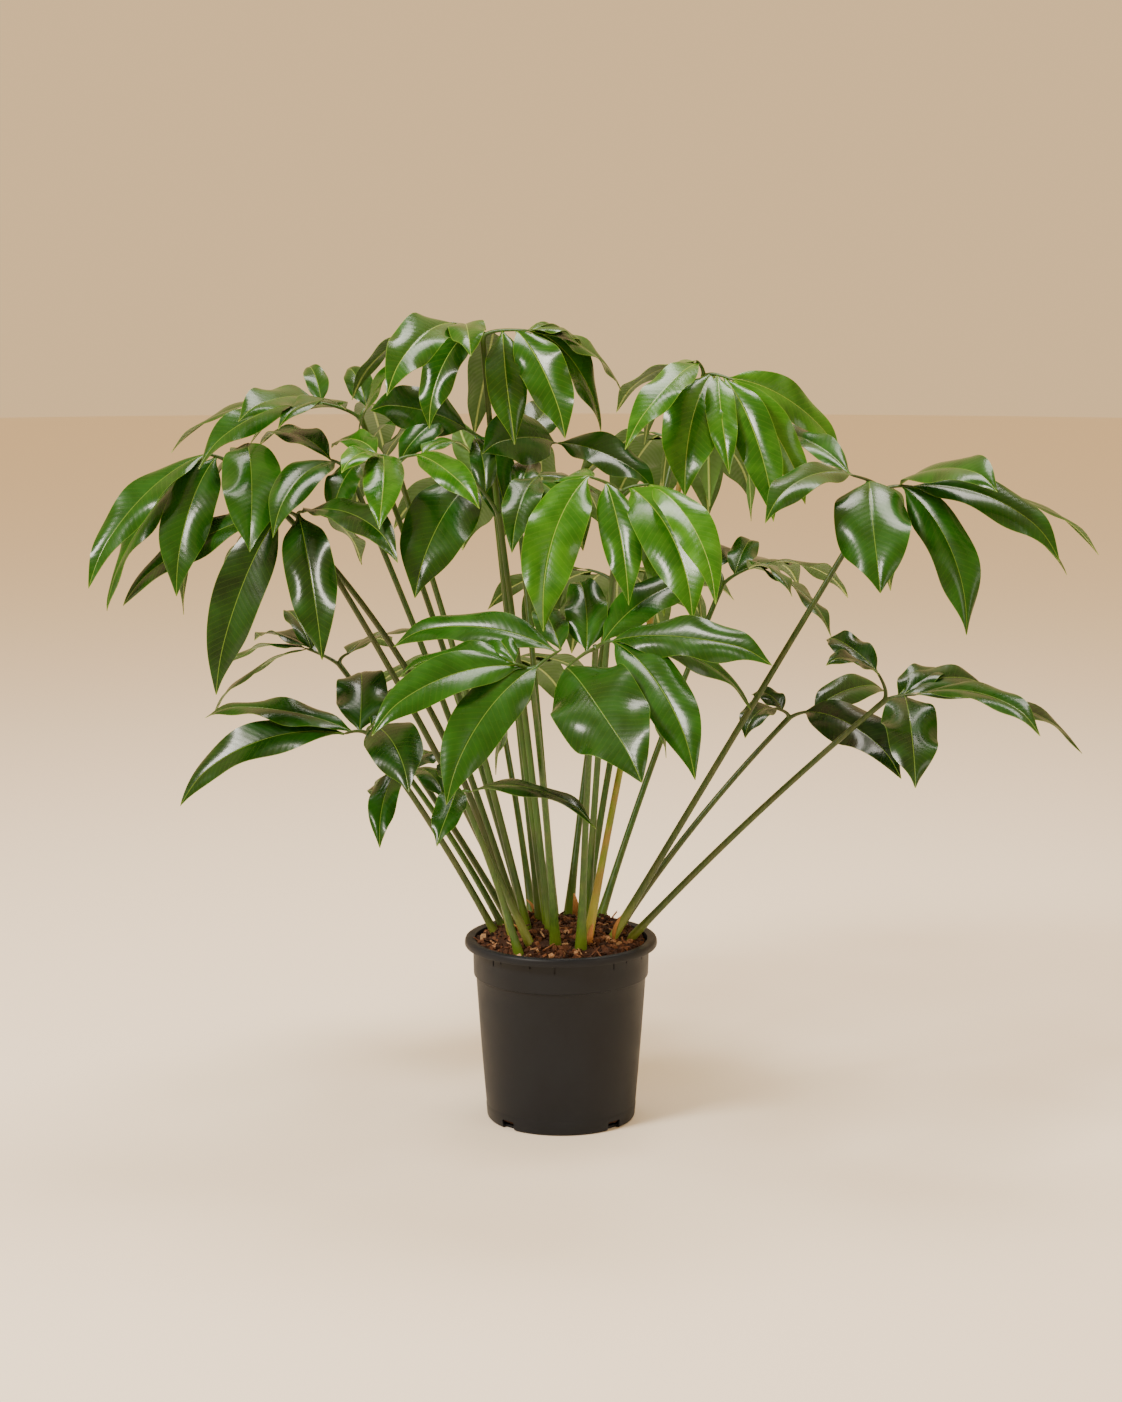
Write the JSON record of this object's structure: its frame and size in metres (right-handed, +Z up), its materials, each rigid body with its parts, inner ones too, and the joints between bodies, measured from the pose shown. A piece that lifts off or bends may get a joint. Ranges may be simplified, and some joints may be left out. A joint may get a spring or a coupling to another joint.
{
  "type": "potted philodendron",
  "caption": "Leafy potted philodendron: long bare stalks fan out of coir soil in a round black nursery pot, each ending in arching split leaf blades.",
  "frame": {"origin": "middle of the pot's flat underside, on the surface it stands on", "axes": "+Z up along the pot's axis, -Y to the front of the plant, +X to its right as seen from the front"},
  "size_m": [1.215, 0.905, 0.9956],
  "materials": {
    "pot_plastic": "satin",
    "potting_mix": "matte",
    "stalk": "satin",
    "leaf": "gloss",
    "young_leaf": "gloss"
  },
  "bodies": {
    "root": {"nursery_pot": "pot_plastic", "soil": "potting_mix", "stalk_crown": "stalk", "blade_crown": "young_leaf", "stalk_upper_middle": "stalk", "blade_upper_middle": "leaf", "stalk_small_left": "stalk", "blade_small_left": "young_leaf", "stalk_inner_front": "stalk", "blade_inner_front": "leaf", "stalk_bright_middle": "stalk", "blade_bright_middle": "young_leaf", "stalk_upper_right": "stalk", "blade_upper_right": "young_leaf", "stalk_far_right": "stalk", "blade_far_right": "leaf", "stalk_low_right": "stalk", "blade_low_right": "leaf", "stalk_low_right_inner": "stalk", "blade_low_right_inner": "leaf", "stalk_back_right": "stalk", "blade_back_right": "leaf", "stalk_upper_left": "stalk", "blade_upper_left": "leaf", "stalk_middle_left": "stalk", "blade_middle_left": "leaf", "stalk_left": "stalk", "blade_left": "leaf", "stalk_far_left": "stalk", "blade_far_left": "leaf", "stalk_back_left": "stalk", "blade_back_left": "leaf", "stalk_low_left": "stalk", "blade_low_left": "leaf", "stalk_low_left_inner": "stalk", "blade_low_left_inner": "leaf", "stalk_lowest_front": "stalk", "blade_lowest_front": "leaf", "stalk_front_left": "stalk", "blade_front_left": "leaf", "stalk_front_right": "stalk", "blade_front_right": "leaf", "stalk_back_inner": "stalk", "blade_back_inner": "leaf", "stalk_back_middle": "stalk", "blade_back_middle": "leaf", "stalk_back_upper": "stalk", "blade_back_upper": "leaf", "stalk_back_low": "stalk", "blade_back_low": "leaf"}
  },
  "joints": []
}
